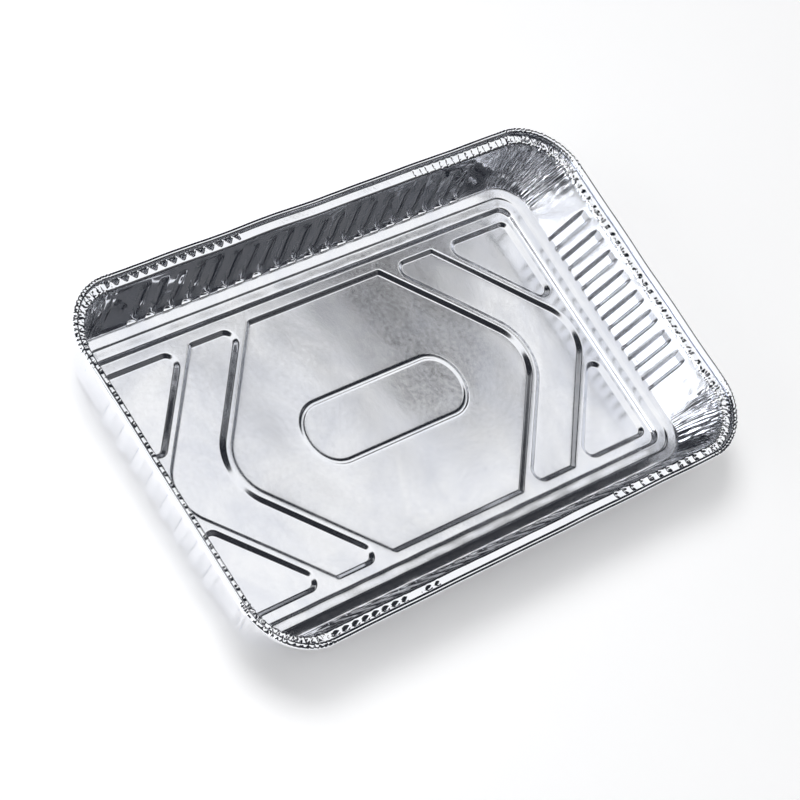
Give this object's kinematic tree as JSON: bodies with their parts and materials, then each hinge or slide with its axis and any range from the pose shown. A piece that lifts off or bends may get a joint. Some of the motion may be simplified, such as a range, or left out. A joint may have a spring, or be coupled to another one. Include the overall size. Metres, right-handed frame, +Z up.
{
  "type": "foil drip pan",
  "caption": "Shallow oblong drip pan pressed from thin foil, with ridged floor panels, a raised ledge, fluted walls, pleated corners and a crimped rim with a rolled edge.",
  "frame": {"origin": "centre of the pan's outline, on the ground under its floor panels", "axes": "+X along the pan's length, +Y across it, +Z up"},
  "size_m": [0.347, 0.2056, 0.041],
  "materials": {
    "foil": "bright rolled foil, slightly mottled"
  },
  "bodies": {
    "root": {"drip_pan": "foil"}
  },
  "joints": []
}
